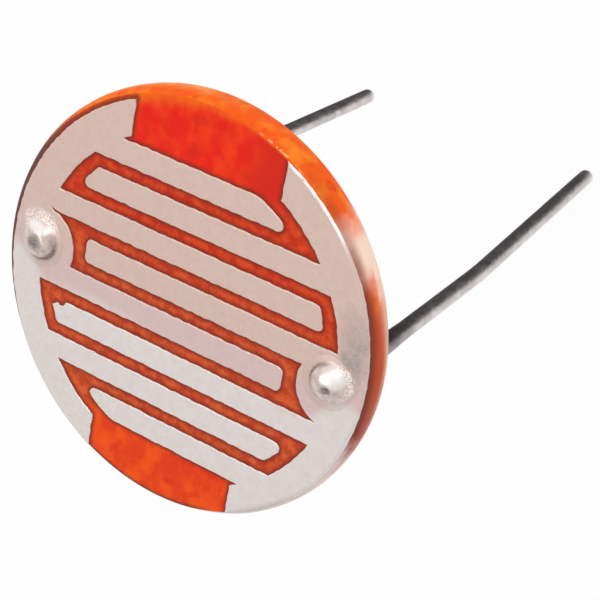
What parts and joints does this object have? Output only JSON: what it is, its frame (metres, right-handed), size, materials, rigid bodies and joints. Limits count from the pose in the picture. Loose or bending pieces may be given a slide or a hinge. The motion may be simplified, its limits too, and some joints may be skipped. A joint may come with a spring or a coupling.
{
  "type": "photoresistor",
  "caption": "Light-dependent resistor: an orange ceramic disc with two interleaved metal comb electrodes on its face, rounded contact bumps and two trimmed wire leads.",
  "frame": {"origin": "centre of the disc's flat back face, which seats towards the circuit board", "axes": "+Z out of the light-sensitive face, leads along -Z, +X from the left lead to the right lead"},
  "size_m": [0.0122, 0.0122, 0.0184],
  "materials": {
    "ceramic": "matte, off-white pressed ceramic",
    "photoconductor": "mottled orange-red sintered layer under a clear lacquer",
    "electrode_film": "satin, warm grey evaporated metal",
    "lead_wire": "tinned, semi-gloss wire",
    "contact_metal": "smooth, bright metal bump"
  },
  "bodies": {
    "root": {"ceramic_disc": "ceramic", "photoconductive_layer": "photoconductor", "electrode_left": "electrode_film", "electrode_right": "electrode_film", "lead_left": "lead_wire", "lead_right": "lead_wire", "contact_left": "contact_metal", "contact_right": "contact_metal"}
  },
  "joints": []
}
